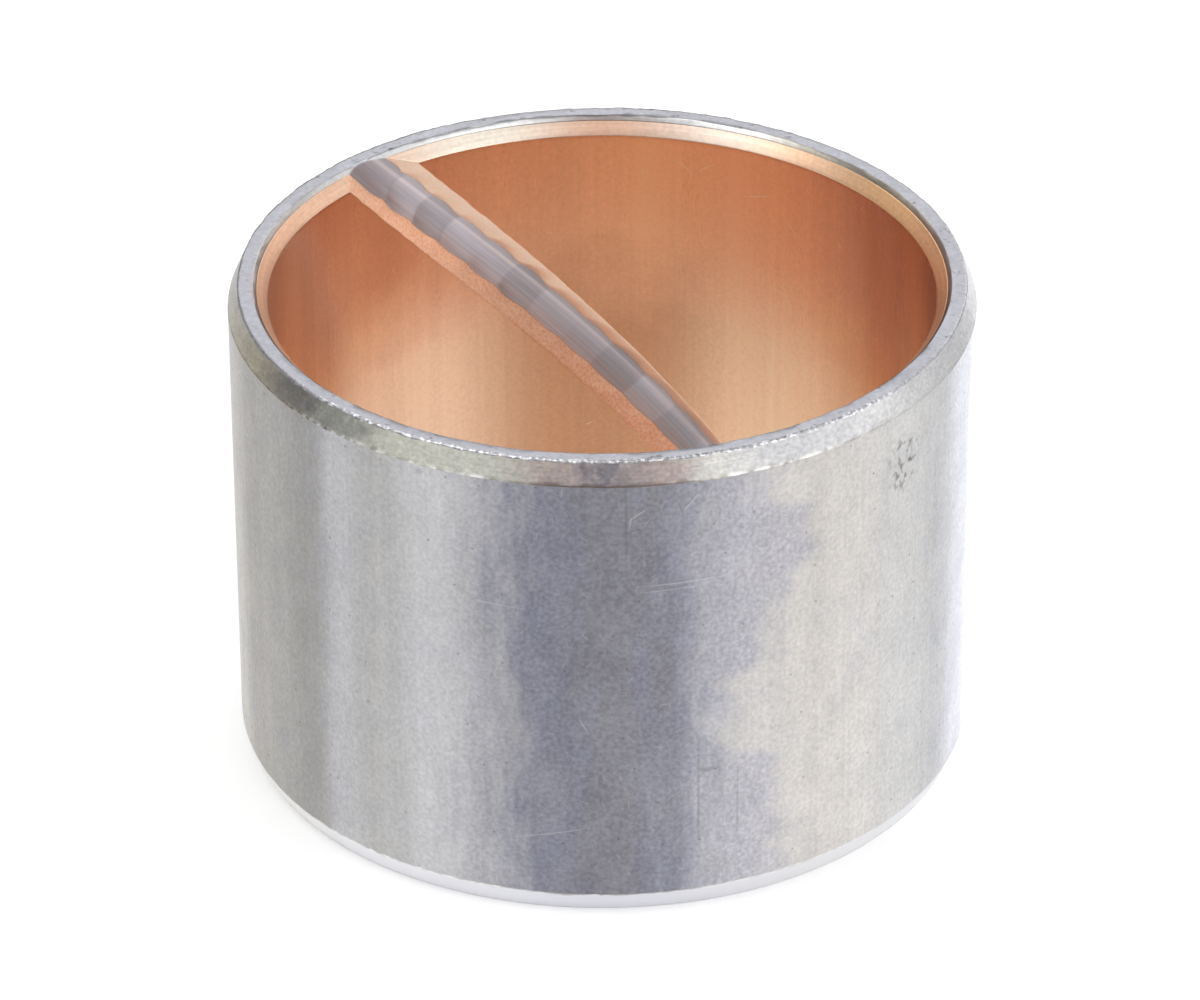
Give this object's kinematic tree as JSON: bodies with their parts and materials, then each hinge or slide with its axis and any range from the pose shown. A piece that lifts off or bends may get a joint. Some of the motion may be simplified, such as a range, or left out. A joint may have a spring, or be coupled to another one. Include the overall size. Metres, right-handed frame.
{
  "type": "bushing",
  "caption": "Plain cylindrical bushing: a steel shell lined with bronze, chamfered at both ends, with a spiral oil groove cut across its bore.",
  "frame": {"origin": "centre of the lower end face, on the axis of the bore", "axes": "+Z along the bore towards the upper end; the oil groove leaves the lower end 53.5 degrees round from +X"},
  "size_m": [0.056, 0.056, 0.0385],
  "materials": {
    "steel": "ground outside, turned ends, dull grey",
    "bronze": "sintered and bored, satin copper brown"
  },
  "bodies": {
    "root": {"steel_shell": "steel", "bronze_lining": "bronze"}
  },
  "joints": []
}
